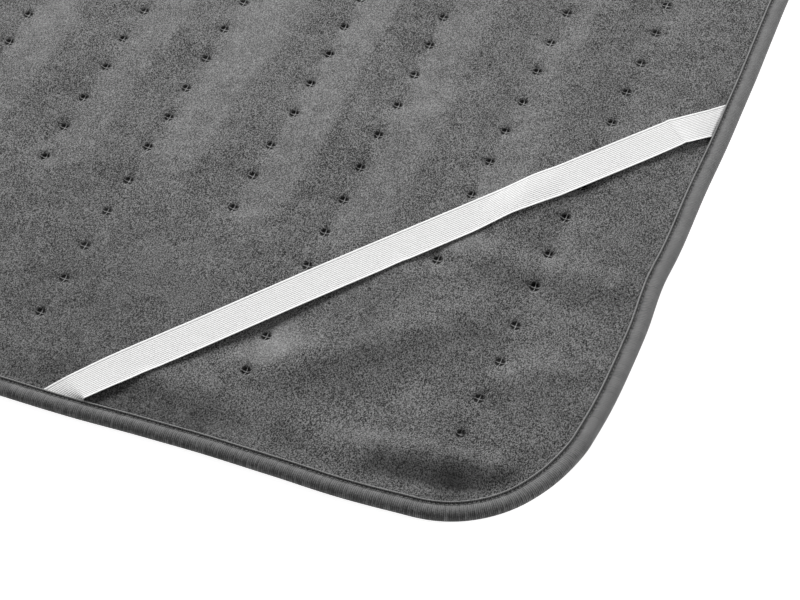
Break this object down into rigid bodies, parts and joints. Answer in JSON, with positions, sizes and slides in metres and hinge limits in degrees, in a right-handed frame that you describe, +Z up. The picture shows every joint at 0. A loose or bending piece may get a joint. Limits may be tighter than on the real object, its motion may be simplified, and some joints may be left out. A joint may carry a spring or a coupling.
{
  "type": "heated underblanket",
  "caption": "Flat rectangular heated pad of spot-welded grey felt with a heating cord inside, a bound edge, an elastic strap across each corner and a plug-in connector at its head end.",
  "frame": {"origin": "the middle of the surface that the pad lies on, under the middle of the pad", "axes": "+X across the pad, +Y from the foot end to the head end with the connector, +Z up, out of the side with the corner straps"},
  "size_m": [0.8, 1.5, 0.016],
  "materials": {
    "felt": "needle-punched grey felt with a short fleecy surface, pressed in rows of weld spots",
    "binding_tape": "knitted dark grey tape with fine crosswise ribs, folded over the edge and stitched",
    "elastic": "off-white woven elastic with fine lengthwise ribs",
    "heating_cord": "smooth silicone insulation",
    "connector_shell": "dark grey moulded plastic with a fine texture",
    "socket_plastic": "smooth black moulding",
    "contact_brass": "bright",
    "screw_steel": "zinc plated",
    "fuse_body": "ceramic white"
  },
  "bodies": {
    "foot_half": {"lower_felt_foot": "felt", "upper_felt_foot": "felt", "binding_foot": "binding_tape", "heating_cord_foot_1": "heating_cord", "heating_cord_foot_2": "heating_cord", "heating_cord_foot_3": "heating_cord", "heating_cord_foot_4": "heating_cord", "heating_cord_foot_5": "heating_cord"},
    "head_half": {"lower_felt_head": "felt", "upper_felt_head": "felt", "binding_head_left": "binding_tape", "binding_head_right": "binding_tape", "heating_cord_head_1": "heating_cord", "heating_cord_head_2": "heating_cord", "heating_cord_head_3": "heating_cord", "heating_cord_head_4": "heating_cord", "heating_cord_lead_right": "heating_cord", "heating_cord_lead_left": "heating_cord", "connector_lower_shell": "connector_shell", "connector_upper_shell": "connector_shell", "socket_insert": "socket_plastic", "contact_pin_right": "contact_brass", "contact_pin_left": "contact_brass", "crimp_sleeve_right": "screw_steel", "crimp_sleeve_left": "screw_steel", "lead_wire_right": "heating_cord", "thermal_fuse": "fuse_body", "fuse_wire_in": "heating_cord", "fuse_wire_out": "heating_cord", "connector_screw_1": "screw_steel", "connector_screw_2": "screw_steel", "connector_screw_3": "screw_steel", "connector_screw_4": "screw_steel"},
    "foot_right_elastic": {"strap_foot_right": "elastic"},
    "foot_left_elastic": {"strap_foot_left": "elastic"},
    "head_right_elastic": {"strap_head_right": "elastic"},
    "head_left_elastic": {"strap_head_left": "elastic"}
  },
  "joints": [
    {"name": "crosswise_fold", "type": "hinge", "parent": "foot_half", "child": "head_half", "pos_m": [0, 0, 0.013], "axis": [-1, 0, 0], "range_deg": [-179.5, 0]},
    {"name": "strap_foot_right_lift", "type": "slide", "parent": "foot_half", "child": "foot_right_elastic", "axis": [0, 0, 1], "range_m": [0, 0.1], "stiffness_N_per_m": 30, "deforming": ["strap_foot_right"]},
    {"name": "strap_foot_left_lift", "type": "slide", "parent": "foot_half", "child": "foot_left_elastic", "axis": [0, 0, 1], "range_m": [0, 0.1], "stiffness_N_per_m": 30, "deforming": ["strap_foot_left"]},
    {"name": "strap_head_right_lift", "type": "slide", "parent": "head_half", "child": "head_right_elastic", "axis": [0, 0, 1], "range_m": [0, 0.1], "stiffness_N_per_m": 30, "deforming": ["strap_head_right"]},
    {"name": "strap_head_left_lift", "type": "slide", "parent": "head_half", "child": "head_left_elastic", "axis": [0, 0, 1], "range_m": [0, 0.1], "stiffness_N_per_m": 30, "deforming": ["strap_head_left"]}
  ]
}
